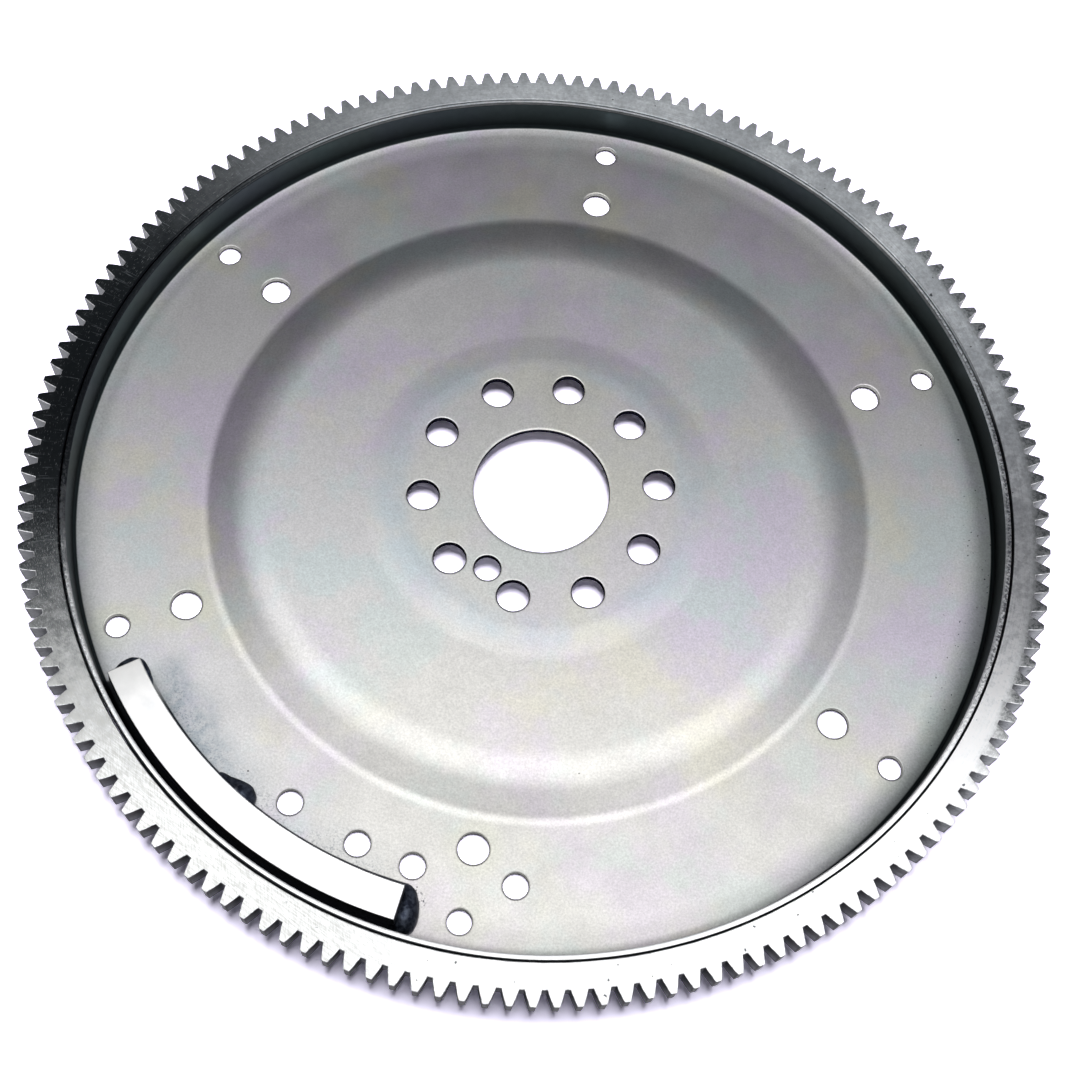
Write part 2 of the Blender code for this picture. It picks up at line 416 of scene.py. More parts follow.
def cutHoles(piece, settings):
    cutter = joinAll([makePunch(settings, *hole) for hole in holePlaces(settings)])
    cut = piece.modifiers.new("holes", "BOOLEAN")
    cut.operation = "DIFFERENCE"
    cut.solver = "EXACT"
    cut.object = cutter
    applyModifier(piece, "holes")
    bpy.data.objects.remove(cutter, do_unlink=True)


def sharpenRolls(piece, settings):
    # The outer edge of each roll stays crisp, so that the flat round it shades as one plane
    wanted = []
    neckDrop = settings["rollDepth"] - settings["neckDepth"]
    for circle, angle, radius in holePlaces(settings):
        face = (settings["hubRise"] if circle < settings["hubFlatRadius"] else 0) + settings["sheet"]
        wanted.append((ringPoint(circle, angle, face), radius + settings["rollWidth"]))
        wanted.append((ringPoint(circle, angle, face - neckDrop), radius + settings["neckWidth"]))
    startEdit(piece, "EDGE")

    def onRoll(a, b):
        for centre, reach in wanted:
            if abs((a - centre).length - reach) < 2e-5 and abs((b - centre).length - reach) < 2e-5:
                return True
        return False

    pickEdges(piece, onRoll)
    bpy.ops.mesh.mark_sharp()
    endEdit()


def makeDisc(settings, material, lipMaterial, punchedMaterial):
    # A ring of edges is drawn out step by step along the section, then given its thickness
    line = discLine(settings)
    deselectAll()
    bpy.ops.mesh.primitive_circle_add(vertices=settings["around"], radius=line[0].x, fill_type="NOTHING",
                                      location=(0, 0, 0))
    disc = bpy.context.object
    startEdit(disc, "EDGE")
    bpy.ops.mesh.select_all(action="SELECT")
    bpy.ops.transform.translate(value=(0, 0, line[0].y))
    for before, after in zip(line, line[1:]):
        bpy.ops.mesh.extrude_region_move(TRANSFORM_OT_translate={"value": (0, 0, after.y - before.y)})
        growth = after.x / before.x
        bpy.ops.transform.resize(value=(growth, growth, 1), center_override=(0, 0, 0))
    bpy.ops.mesh.select_all(action="SELECT")
    bpy.ops.mesh.normals_make_consistent(inside=False)
    endEdit()
    wall = disc.modifiers.new("sheet", "SOLIDIFY")
    wall.thickness = settings["sheet"]
    wall.offset = 0
    wall.use_even_offset = True
    wall.use_rim = True
    applyModifier(disc, "sheet")
    startEdit(disc, "EDGE")
    top = settings["flangeTop"]
    pickEdges(disc, lambda a, b: min(a.z, b.z) > top - 1e-5)
    bpy.ops.mesh.bevel(offset=settings["rimBreak"], offset_type="OFFSET", segments=3, affect="EDGES")
    bore = settings["boreRadius"]
    pickEdges(disc, lambda a, b: max(a.xy.length, b.xy.length) < bore + 1e-5 and abs(a.z - b.z) < 1e-6)
    bpy.ops.mesh.bevel(offset=settings["boreBreak"], offset_type="OFFSET", segments=2, affect="EDGES")
    endEdit()
    cutHoles(disc, settings)
    smoothPiece(disc)
    sharpenRolls(disc, settings)
    finishPiece(disc, "stampedDisc", material, "zinc_sheet", "stamped_disc")
    # The rim was turned together with the ring, and the walls of the punched holes get a dark material
    # painted with shade
    disc.data.materials.append(lipMaterial)
    disc.data.materials.append(punchedMaterial)
    for face in disc.data.polygons:
        if face.center.z > top - settings["rimBreak"] * 0.95 and face.normal.z > 0.2:
            face.material_index = 1
        elif abs(face.normal.z) < 0.9 and face.center.xy.length < settings["flangeInner"] - 0.004:
            face.material_index = 2


zincSettings = {
    "grey": (0.605, 0.60, 0.605),
    "lilac": (0.605, 0.56, 0.655),
    "seaGreen": (0.55, 0.61, 0.615),
    "straw": (0.64, 0.625, 0.54),
    "plain": (0.595, 0.60, 0.57),
    "blueEdge": (0.50, 0.565, 0.60),
    "halo": (0.615, 0.635, 0.50),
    "halos": (("converterHoles", 0.0059, 0.38), ("outerHoles", 0.0046, 0.34)),
    "flangeShade": (0.60, 0.61, 0.60),
    "wall": (0.078, 0.105, 0.109),
    "roughness": 0.43,
    "speckle": 0.17,
    "pits": ((0.1643, 0.0597, 0.00045), (0.1785, -0.0011, 0.00035), (0.0994, -0.1604, 0.0003),
             (0.1492, 0.0542, 0.00028), (0.0329, -0.1106, 0.00028), (-0.0859, -0.1309, 0.00035),
             (-0.0171, -0.1611, 0.00026), (-0.0153, -0.1629, 0.00024), (-0.0144, -0.1656, 0.00022)),
}


def makeZinc(settings, disc, bar):
    # Satin zinc plating: grey with faint bands of interference colour, and a fine grain
    bench = newBench("satinZincPlate")
    place, x, y, z = bench.objectSpace()
    clouds = bench.noise(place, 18, 5, 0.62)
    clouds2 = bench.noise(bench.combine(bench.plus(x, 3.7), y, z), 24, 4, 0.62)
    clouds3 = bench.noise(bench.combine(x, bench.plus(y, 5.1), z), 19, 4, 0.6)
    grain = bench.noise(place, 1250, 2, 0.7)
    mottle = bench.noise(place, 260, 3, 0.6)
    colour = bench.mix((clouds, 0.46, 0.6, 0.0, 1.0), settings["grey"], settings["lilac"])
    colour = bench.paint(colour, settings["seaGreen"], (clouds2, 0.5, 0.63, 0.0, 0.9))
    colour = bench.paint(colour, settings["straw"], (clouds3, 0.53, 0.68, 0.0, 0.8))
    colour = bench.paint(colour, settings["straw"], (y, -0.03, -0.09, 0, 0.35), (x, -0.12, -0.02))
    radius = bench.reach(x, y)
    angle = bench.math("ARCTAN2", y, x)
    # The hub is plainer, with a bluer band along its edge
    colour = bench.paint(colour, settings["plain"], (radius, 0.06, 0.05, 0, 0.6))
    colour = bench.paint(colour, settings["blueEdge"], bench.window(radius, (0.0505, 0.0575), (0.069, 0.061)),
                         (clouds2, 0.38, 0.58, 0.15, 0.75))
    # The holes outside the hub have straw halos
    for key, inner, strength in settings["halos"]:
        group = disc[key]
        pitch = math.tau / group["count"]
        turned = bench.plus(angle, pitch * 40.5 - math.radians(group["start"]))
        folded = bench.minus(bench.math("MODULO", turned, pitch), pitch / 2)
        nearX = bench.minus(bench.times(radius, bench.math("COSINE", folded)), group["circle"])
        nearY = bench.times(radius, bench.math("SINE", folded))
        fromHole = bench.wobble(bench.reach(nearX, nearY), clouds2, 0.008)
        colour = bench.paint(colour, settings["halo"], (fromHole, inner + 0.0075, inner + 0.002, 0, strength),
                             (clouds3, 0.35, 0.6, 0.25, 1.0))
    colour, gapShade = shadeAndSootByBar(bench, colour, bar, clouds2, mottle)
    # The outer band is darker, and painted shade greys it before the flange on the right and a little on the
    # left
    east = bench.plus(bench.times(x, 0.996), bench.times(y, -0.087))
    sides = bench.plus((east, 0.098, 0.165, 0, 0.7), (x, -0.12, -0.17, 0, 0.26))
    flangeShade = bench.times(sides, (radius, 0.1665, 0.1815))
    colour = bench.paint(colour, settings["flangeShade"], bench.math("MULTIPLY", flangeShade, 0.9, clamp=True))
    band = bench.times((radius, 0.1315, 0.1345, 1.0, 0.89), bench.minus(1.0, flangeShade))
    cast = bench.times(band, bench.plus(1.0, bench.times(flangeShade, 0.13)))
    colour = bench.dim(colour, band, cast, cast)
    # Dirt specks gather before the flange on the right
    colour = bench.paint(colour, (0.04, 0.045, 0.05), (bench.noise(place, 780, 1, 0.5), 0.725, 0.75, 0, 0.9),
                         (east, 0.158, 0.17))
    # Fine speckle, broader mottle, and a few small pits
    contrast = settings["speckle"]
    colour = bench.dim(colour, bench.times((grain, 0.25, 0.75, 1 - contrast, 1 + contrast, False),
                                           (mottle, 0.3, 0.7, 0.965, 1.035, False)))
    for pitX, pitY, size in settings["pits"]:
        gap = bench.reach(bench.minus(x, pitX), bench.minus(y, pitY))
        colour = bench.paint(colour, (0.03, 0.03, 0.035), (gap, size * 1.15, size * 0.7, 0, 0.93))
    # The drawn wall of the flange is painted dark as shade, darkest at its foot and towards the right
    wall = bench.times((radius, 0.1802, 0.1808), bench.window(z, (0.0021, 0.0026), (0.01785, 0.0177)))
    shade = bench.times((z, 0.0025, 0.018, 0.2, 1.05, False), (x, 0.08, 0.18, 1.15, 0.42),
                        (mottle, 0.3, 0.7, 0.93, 1.07, False))
    colour = bench.paint(colour, bench.dim(settings["wall"], shade), wall)
    # The gap behind the bar is painted black as shade
    colour = bench.paint(colour, (0.012, 0.013, 0.017), gapShade)
    dullest, brightest = settings["roughness"] + 0.025, settings["roughness"] - 0.025
    rough = bench.remap(bench.noise(place, 60, 3, 0.6), 0.3, 0.7, brightest, dullest, False)
    return bench.finishMetal(colour, rough, grain, 0.05)


def shadeAndSootByBar(bench, colour, bar, clouds, mottle):
    # Painted shade, soot specks and spatter round the balance bar, and the mask of the black painted shade in
    # the gap behind it
    place, x, y, z = bench.objectSpace()
    bend, turn = bench.polar(x, y, bar["centre"])
    inward = bench.minus(bar["innerBend"], bend)
    start, end = bar["startTurn"], bar["endTurn"]
    # Painted blue-grey shade lies along the inner side of the bar, where the bar keeps light off the disc
    span = bench.window(turn, (start - 0.03, start + 0.03), (end + 0.01, end - 0.12))
    ragged = bench.wobble(inward, clouds, 0.03)
    colour = bench.paint(colour, (0.34, 0.38, 0.41), (ragged, 0.019, 0.003, 0, 0.95), span,
                         (turn, start + 0.46, start + 0.22, 0.22, 1), (mottle, 0.36, 0.6, 0.55, 1))
    # Fine soot specks thicken towards the bar
    colour = bench.paint(colour, (0.16, 0.18, 0.21), (bench.noise(place, 1500, 2, 0.6), 0.52, 0.66, 0, 0.55),
                         (ragged, 0.012, 0.002), span)
    # A painted shade line at the bar's foot, wider towards its right end, on the upper side only
    upper = bench.remap(z, 0.0010, 0.0018)
    along = bench.times(bench.window(turn, (start - 0.013, start - 0.004), (end + 0.006, end - 0.003)), upper)
    closeIn = bench.minus(inward, (turn, start, end, 0.0008, 0.0032, False))
    colour = bench.paint(colour, (0.014, 0.016, 0.021), (closeIn, 0.0004, 0.0, 0, 0.97), along)
    # Spatter specks beside the weld at the right end
    spread = bench.polar(x, y, bar["spatter"])[0]
    colour = bench.paint(colour, (0.06, 0.065, 0.08), (bench.noise(place, 1400, 1, 0.5), 0.58, 0.64, 0, 0.8),
                         (spread, 0.0038, 0.0012), upper)
    # Cooler grey round the bar's left end
    colour = bench.paint(colour, (0.575, 0.6, 0.6), (turn, start - 0.2, start - 0.04, 0, 0.75),
                         (turn, start + 0.12, start + 0.02), (inward, 0.012, 0.0))
    # The gap between bar and flange is painted black as shade
    gapShade = bench.times((bend, bar["outerBend"] - 0.0006, bar["outerBend"], 0, 0.96), along)
    return colour, gapShade


def makePunchedSteel():
    # Walls of the punched holes, torn in texture and painted dark as shade, with a pale band in the thin
    # outer part painted as light from the near table
    bench = newBench("punchedWall")
    x, y, z = bench.objectSpace()[1:]
    drag = bench.drawnNoise((x, y, z), (4000, 4000, 400), 3, 0.6)
    torn = bench.remap(drag, 0.35, 0.65)
    dark = bench.mix(torn, (0.006, 0.006, 0.012), (0.030, 0.030, 0.044))
    # In the hub the two edges of the wall get the darkest painted shade
    edge = bench.remap(bench.math("ABSOLUTE", bench.minus(z, 0.00705)), 0.0006, 0.0010, 1.25, 0.30)
    # The pale band in the outer holes is painted light
    pale = bench.mix(torn, (0.38, 0.38, 0.36), (0.55, 0.55, 0.52))
    litBand = bench.times((bench.reach(x, y), 0.09, 0.1), (z, 0.0006, 0.0009), (z, 0.0023, 0.0021, 0.15, 1))
    bench.shader.inputs["Specular Tint"].default_value = (0.15, 0.15, 0.17, 1)
    return bench.finishMetal(bench.mix(litBand, bench.dim(dark, edge), pale),
                             (drag, 0.3, 0.7, 0.45, 0.6, False), drag, 0.1)


steelSettings = {
    "light": (0.78, 0.79, 0.79),
    "dark": (0.64, 0.65, 0.655),
    "burnt": (0.020, 0.026, 0.030),
    "scratch": (0.30, 0.33, 0.35),
    "fleck": (0.42, 0.44, 0.45),
    "roughness": 0.335,
    "burntStart": (100, 165),
    "burntEnd": (196, 238),
    "lipDarkReflectionStart": (120, 168),
    "lipDarkReflectionEnd": (189, 218),
    "lipSpeckle": 0.9,
    "grooveShift": (0.00015, 0.0005),
}


def makeTurnedSteel(name, settings, lip):
    # Turned steel: rings of tool marks round the axis draw its reflections out from the centre
    bench = newBench(name)
    place, x, y, z = bench.objectSpace()
    radius, turn = bench.polar(x, y)
    # Angle from 0 to a full turn, starting at the right
    angle = bench.plus(turn, math.pi)
    streaks = bench.drawnNoise((radius, angle, z), (2500, 3, 600), 4, 0.7)
    patches = bench.noise(place, 45, 4, 0.65)
    blotches = bench.noise(place, 210, 4, 0.7)
    colour = bench.mix((streaks, 0.35, 0.65), settings["dark"], settings["light"])
    colour = bench.paint(colour, (0.5, 0.51, 0.52), (patches, 0.62, 0.4, 0, 0.75), (y, -0.08, 0.0))
    colour = bench.paint(colour, (0.4, 0.41, 0.42), (blotches, 0.56, 0.4, 0, 0.5), (y, -0.09, -0.02),
                         (y, 0.08, 0.16, 1.0, 0.5))
    fine = bench.remap(bench.noise(place, 620, 3, 0.7), 0.32, 0.68, 0.84, 1.16, False)
    colour = bench.paint(colour, bench.dim(colour, fine), (y, -0.1, -0.04, 0.3, 1.0))
    # A painted highlight brightens the near side and the right, and a painted cast makes the far side a
    # little bluer
    paintedSheen = bench.times((y, 0.02, -0.06, 1.0, 1.27), (y, 0.05, 0.13, 1.0, 0.97), (x, 0.09, 0.16, 1.0, 1.2))
    colour = bench.dim(colour, paintedSheen)
    colour = bench.paint(colour, bench.dim(colour, 0.965, 1.0, 1.025), (y, -0.02, 0.1))
    # Painted shade fills the groove between ring and rim, widest on the left, and leaves the far side
    wider = bench.remap(x, 0.04, -0.10, 0, 0.00022)
    offCentre = bench.polar(x, y, settings["grooveShift"])[0]
    groove = bench.times((bench.minus(offCentre, wider), 0.18495, 0.18475),
                         (bench.plus(offCentre, wider), 0.1839, 0.1841), (y, 0.14, 0.05, 0.08, 0.99))
    # A painted dark reflection on the left, with light scratches across the tool marks and flecks along them
    start, startFull = map(math.radians, settings["lipDarkReflectionStart" if lip else "burntStart"])
    endFull, end = map(math.radians, settings["lipDarkReflectionEnd" if lip else "burntEnd"])
    ragged = bench.wobble(bench.wobble(angle, patches, 0.4), blotches, 0.4)
    burnt = bench.window(ragged, (start, startFull), (end, endFull))
    scratches = bench.remap(bench.drawnNoise((angle, radius, z), (220, 60, 1), 3, 0.75), 0.60, 0.70, 0, 0.8)
    flecks = bench.remap(bench.drawnNoise((radius, angle, z), (2400, 85, 1), 2, 0.6), 0.63, 0.69, 0, 0.6)
    deep = bench.mix(scratches, settings["burnt"], settings["scratch"])
    deep = bench.paint(deep, settings["fleck"], flecks)
    colour = bench.paint(colour, deep, burnt, 0.985)
    colour = bench.paint(colour, (0.008, 0.009, 0.012), groove)
    if lip:
        height, strength = bench.noise(place, 900, 2, 0.7), 0.12
        colour = lipWearAndShade(bench, colour, settings, height, radius, x, y)
    else:
        height, strength = streaks, 0.06
        colour = wearTeeth(bench, colour, blotches, radius, angle)
    bench.shader.inputs["Anisotropic"].default_value = 0.93
    bench.shader.inputs["Anisotropic Rotation"].default_value = 0.25
    tangent = bench.add("ShaderNodeTangent", direction_type="RADIAL", axis="Z")
    bench.link(tangent.outputs[0], bench.shader.inputs["Tangent"])
    rough = bench.remap(streaks, 0.3, 0.7, settings["roughness"] - 0.03, settings["roughness"] + 0.03, False)
    return bench.finishMetal(colour, rough, height, strength)


def lipWearAndShade(bench, colour, settings, dents, radius, x, y):
    # Dents speckle the lip, but its rubbed inner edge stays bright
    nearRange = bench.math("ADD", (y, -0.1, -0.03, 0.05, 1.0), (x, -0.11, -0.16, 0, 0.6), clamp=True)
    colour = bench.paint(colour, (0.16, 0.17, 0.185), (dents, 0.56, 0.44, 0, settings["lipSpeckle"]),
                         nearRange, (y, 0.15, 0.09, 0.1, 1.0), (radius, 0.1822, 0.1829, 0.25, 1.0))
    # On the far side it is painted dark, with a painted highlight on the outer part only
    farLip = bench.dim(colour, bench.remap(radius, 0.1827, 0.1833, 0.16, 1.7))
    colour = bench.paint(colour, farLip, (y, 0.05, 0.12))
    # On the left a painted dark reflection makes it nearly black, with bright nicks
    return bench.paint(colour, (0.025, 0.03, 0.035), (x, -0.1, -0.165, 0, 0.9), (dents, 0.66, 0.6, 0.2, 1),
                       (y, -0.055, -0.005, 0.1, 1))


def wearTeeth(bench, colour, blotches, radius, angle):
    # The teeth are darker, most of all on the right
    place, x, y, z = bench.objectSpace()
    colour = bench.paint(colour, (0.13, 0.14, 0.145), (bench.wobble(radius, blotches, 0.006), 0.1912, 0.1955),
                         (x, 0.04, 0.16, 0.15, 0.95), (y, -0.11, -0.05, 0.0, 1),
                         (bench.noise(place, 900, 2, 0.7), 0.38, 0.6, 1, 0.62))
    # Fine crossed grinding lines at the lower left
    along = bench.plus(bench.times(x, 0.42), bench.times(y, 0.90))
    beside = bench.minus(bench.times(x, 0.90), bench.times(y, 0.42))
    hatch = bench.drawnNoise((along, beside, z), (1900, 130, 1), 2, 0.6)
    along = bench.plus(bench.times(x, 0.95), bench.times(y, 0.31))
    beside = bench.minus(bench.times(y, 0.95), bench.times(x, 0.31))
    cross = bench.drawnNoise((along, beside, z), (2100, 240, 1), 2, 0.6)
    hatch = bench.plus((hatch, 0.4, 0.62, 0.1, 0.6), (cross, 0.42, 0.62, 0, 0.35))
    hatch = bench.times(hatch, (x, 0.02, -0.05), (y, -0.075, -0.125))
    colour = bench.paint(colour, (0.5, 0.505, 0.485), hatch)
    # Above them the painted dark reflection ends in a scuffed stretch, mottled dark, with fine bright nicks
    rise, fall = map(math.radians, (190, 201)), map(math.radians, (219, 207))
    scuffed = bench.window(angle, rise, fall)
    colour = bench.paint(colour, (0.13, 0.14, 0.145), (blotches, 0.54, 0.42, 0, 0.45), scuffed)
    nicks = bench.drawnNoise((radius, angle, z), (4600, 130, 1), 3, 0.7)
    colour = bench.paint(colour, (0.7, 0.71, 0.72), (nicks, 0.55, 0.66, 0, 0.6), scuffed)
    # Small dark pits
    return bench.paint(colour, (0.03, 0.035, 0.045), (bench.noise(place, 330, 2, 0.5), 0.715, 0.735, 0, 0.9),
                       (x, -0.1, 0.02, 0.2, 1))


def makeHobbedSteel():
    # Flanks and gaps of the teeth keep the hob's dull cut, with painted shade darkening them at the near side
    bench = newBench("hobbedFlank")
    place, x, y, z = bench.objectSpace()
    marks = bench.drawnNoise((x, y, z), (500, 500, 2200), 3, 0.65)
    blots = bench.noise(place, 420, 3, 0.65)
    cut = bench.remap(marks, 0.35, 0.65)
    light = bench.mix(cut, (0.26, 0.275, 0.29), (0.46, 0.475, 0.49))
    shadedNear = bench.mix(cut, (0.035, 0.035, 0.045), (0.105, 0.105, 0.12))
    # Painted light makes them paler near the table, they are darker on the left, and on the right painted
    # shade darkens the root
    shadedNear = bench.dim(shadedNear, bench.remap(z, 0.0165, 0.0095, 0.6, 2.2))
    radius = bench.reach(x, y)
    rooted = bench.remap(bench.wobble(radius, blots, 0.004), 0.1935, 0.1985, 0.35, 1.0)
    rooted = bench.math("MAXIMUM", rooted, (x, 0.08, 0.15, 1.0, 0.0))
    light = bench.dim(light, bench.times((x, -0.09, -0.16, 1.0, 0.5), rooted))
    colour = bench.mix((bench.wobble(y, blots, 0.05), -0.07, -0.15), light, shadedNear)
    # The tip lands are darker
    colour = bench.dim(colour, bench.remap(radius, 0.1986, 0.1991, 1.0, 0.35))
    colour = bench.paint(colour, (0.08, 0.085, 0.1), (blots, 0.6, 0.68, 0, 0.7))
    return bench.finishMetal(colour, (marks, 0.3, 0.7, 0.38, 0.52, False), marks, 0.2)


def makeWornEdge():
    # The deburred edges of the teeth are worn bright
    bench = newBench("wornEdge")
    breaks = bench.noise(bench.objectSpace()[0], 500, 3, 0.65)
    colour = bench.mix((breaks, 0.38, 0.56), (0.3, 0.31, 0.32), (0.78, 0.79, 0.8))
    return bench.finishMetal(colour, (breaks, 0.3, 0.7, 0.26, 0.36, False))


barSettings = {
    "size": 0.0127,
    "outerBend": 0.1740,
    "shift": 0.0048,
    "shiftAngle": 226.7,
    "middle": 240.3,
    "span": 47.0,
    "foot": 0.0026,
    "edgeBreak": 0.00035,
    "steps": 48,
}

barPlace = {
    "centre": ringPoint(barSettings["shift"], barSettings["shiftAngle"]),
    "spatter": ringPoint(barSettings["shift"], barSettings["shiftAngle"]) + ringPoint(0.1622, 265.9),
    "outerBend": barSettings["outerBend"],
    "innerBend": barSettings["outerBend"] - barSettings["size"],
    "startTurn": math.radians(barSettings["middle"] - barSettings["span"] / 2 - 180),
    "endTurn": math.radians(barSettings["middle"] + barSettings["span"] / 2 - 180),
}

zincPlate = makeZinc(zincSettings, discSettings, barPlace)
turnedLip = makeTurnedSteel("turnedLip", steelSettings, True)
punchedWall = makePunchedSteel()
makeDisc(discSettings, zincPlate, turnedLip, punchedWall)


# Ring gear

ringSettings = {
    "teeth": 155,
    "module": 0.00254,
    "pressureAngle": 20.0,
    "addendum": 1.0,
    "dedendum": 1.25,
    "boreRadius": 0.1844,
    "boreChamfer": 0.0004,
    "top": 0.0183,
    "thickness": 0.0100,
    "flankSteps": 5,
    "faceDrop": 0.00015,
    "edgeBreak": 0.00022,
}


def toothHalfAngle(settings, radius):
    pitchRadius = settings["module"] * settings["teeth"] / 2
    pressure = math.radians(settings["pressureAngle"])
    slope = math.acos(min(pitchRadius * math.cos(pressure) / radius, 1.0))
    rise = (math.tan(pressure) - pressure) - (math.tan(slope) - slope)
    return math.pi / (2 * settings["teeth"]) + rise


def makeRing(settings):
    # One sector of the face with its tooth is drawn out, copied round the axis and pulled down to thickness
    pitchRadius = settings["module"] * settings["teeth"] / 2
    tip = pitchRadius + settings["addendum"] * settings["module"]
    root = pitchRadius - settings["dedendum"] * settings["module"]
    bore = settings["boreRadius"]
    pitch = math.tau / settings["teeth"]
    rootHalf = toothHalfAngle(settings, root)
    deselectAll()
    bpy.ops.mesh.primitive_plane_add(size=1, location=(0, 0, 0))
    ring = bpy.context.object
    # The plane becomes the strip under one tooth, from the bore to the root circle
    for vert in ring.data.vertices:
        radius = root if vert.co.x > 0 else bore
        angle = math.copysign(rootHalf, vert.co.y)
        vert.co = (radius * math.cos(angle), radius * math.sin(angle), settings["top"])
    startEdit(ring, "EDGE")
    # The tooth grows from the strip's outer edge, following its flank
    pickEdges(ring, lambda a, b: min(a.length, b.length) > (root + bore) / 2)
    previous, previousHalf = root, rootHalf
    for step in range(1, settings["flankSteps"] + 1):
        radius = root + (tip - root) * step / settings["flankSteps"]
        half = toothHalfAngle(settings, radius)
        middle = previous * math.cos(previousHalf)
        nextMiddle = radius * math.cos(half)
        # The tooth's face falls away towards its tip
        drop = settings["faceDrop"] * (2 * step - 1) / settings["flankSteps"] ** 2
        bpy.ops.mesh.extrude_region_move(TRANSFORM_OT_translate={"value": (nextMiddle - middle, 0, -drop)})
        growth = (radius * math.sin(half)) / (previous * math.sin(previousHalf))
        bpy.ops.transform.resize(value=(1, growth, 1), center_override=(0, 0, 0))
        previous, previousHalf = radius, half
    # The strips beside it reach to the middle of each gap
    for side in (1, -1):
        bpy.ops.mesh.select_all(action="DESELECT")
        pickEdges(ring, lambda a, b: a.y * side > 0 and b.y * side > 0
                  and max(a.xy.length, b.xy.length) < root + 1e-5 and abs(a.xy.length - b.xy.length) > 0.001)
        bpy.ops.mesh.extrude_region_move(TRANSFORM_OT_translate={"value": (0, 0, 0)})
        # The sign of transform.rotate turns round without a window
        bpy.ops.transform.rotate(value=-side * (pitch / 2 - rootHalf), orient_axis="Z",
                                 center_override=(0, 0, 0))
    endEdit()
    return ring, pitch


def finishRing(ring, pitch, settings, material, flankMaterial, edgeMaterial):
    root = settings["module"] * (settings["teeth"] / 2 - settings["dedendum"])
    startEdit(ring, "FACE")
    bpy.ops.mesh.select_all(action="SELECT")
    bpy.ops.mesh.spin(steps=settings["teeth"] - 1, dupli=True, angle=pitch * (settings["teeth"] - 1),
                      center=(0, 0, 0), axis=(0, 0, 1))
    bpy.ops.mesh.select_all(action="SELECT")
    bpy.ops.mesh.remove_doubles(threshold=0.00001)
    bpy.ops.mesh.select_all(action="SELECT")
    bpy.ops.mesh.extrude_region_move(TRANSFORM_OT_translate={"value": (0, 0, -settings["thickness"])})
    bpy.ops.mesh.select_all(action="SELECT")
    bpy.ops.mesh.normals_make_consistent(inside=False)
    bore = settings["boreRadius"]
    top = settings["top"]
    bpy.ops.mesh.select_mode(type="EDGE")
    pickEdges(ring, lambda a, b: max(a.xy.length, b.xy.length) < bore + 1e-4
              and min(a.z, b.z) > top - 1e-5)
    bpy.ops.mesh.bevel(offset=settings["boreChamfer"], offset_type="OFFSET", segments=2, affect="EDGES")
    endEdit()
    addBevel(ring, settings["edgeBreak"], segments=2, angle=45)
    smoothPiece(ring, 40)
    weightNormals(ring)
    finishPiece(ring, "ringGear", material, "machined_steel", "ring_gear")
    ring.data.materials.append(flankMaterial)
    ring.data.materials.append(edgeMaterial)
    for face in ring.data.polygons:
        if face.center.xy.length > root - 0.0006:
            if abs(face.normal.z) < 0.3:
                face.material_index = 1
            elif face.normal.z < 0.97:
                face.material_index = 2


ringSteel = makeTurnedSteel("turnedRingSteel", steelSettings, False)
ringPiece, toothPitch = makeRing(ringSettings)
finishRing(ringPiece, toothPitch, ringSettings, ringSteel, makeHobbedSteel(), makeWornEdge())


# Balance bar

def makeBar(settings, material):
    # A square of bar stock is swept round its own bend centre
    size = settings["size"]
    start = math.radians(settings["middle"] - settings["span"] / 2)
    centre = ringPoint(settings["shift"], settings["shiftAngle"])
    middleRadius = settings["outerBend"] - size / 2
    deselectAll()
    bpy.ops.mesh.primitive_plane_add(size=size, location=(0, 0, 0), rotation=(math.pi / 2, 0, 0))
    bar = bpy.context.object
    setPlace(bar)
    bar.data.transform(Matrix.Translation((middleRadius, 0, settings["foot"] + size / 2)))
    bar.data.transform(Matrix.Rotation(start, 4, "Z"))
    bar.data.transform(Matrix.Translation(centre))
    startEdit(bar, "FACE")
    bpy.ops.mesh.select_all(action="SELECT")
    bpy.ops.mesh.spin(steps=settings["steps"], angle=math.radians(settings["span"]), center=centre,
                      axis=(0, 0, -1))
    bpy.ops.mesh.select_all(action="SELECT")
    bpy.ops.mesh.remove_doubles(threshold=0.00001)
    bpy.ops.mesh.normals_make_consistent(inside=False)
    endEdit()
    addBevel(bar, settings["edgeBreak"], segments=3, angle=40)
    smoothPiece(bar)
    weightNormals(bar)
    finishPiece(bar, "balanceBar", material, "bright_bar", "balance_weight")


def makeBrightBar(bar):
    # Bright drawn bar stock
    bench = newBench("brightBarSteel")
    place, x, y, z = bench.objectSpace()
    grain = bench.noise(place, 700, 3, 0.65)
    patches = bench.noise(place, 90, 3, 0.6)
    colour = bench.mix((patches, 0.35, 0.65), (0.86, 0.87, 0.88), (0.95, 0.95, 0.95))
    # Its left end is darker
    towardsLeftEnd = bench.wobble(bench.polar(x, y, bar["centre"])[1], patches, 0.08)
    start = bar["startTurn"]
    colour = bench.paint(colour, (0.58, 0.58, 0.57), (towardsLeftEnd, start + 0.2, start - 0.02, 0, 0.9))
    # The sides are painted dark grey as shade, below the lit top
    sideShade = bench.mix((grain, 0.35, 0.65), (0.07, 0.075, 0.085), (0.16, 0.165, 0.18))
    colour = bench.paint(colour, sideShade, (z, 0.015, 0.01515, 1, 0))
    return bench.finishMetal(colour, (grain, 0.3, 0.7, 0.4, 0.48, False), grain, 0.04)


makeBar(barSettings, makeBrightBar(barPlace))


# Welds of the bar

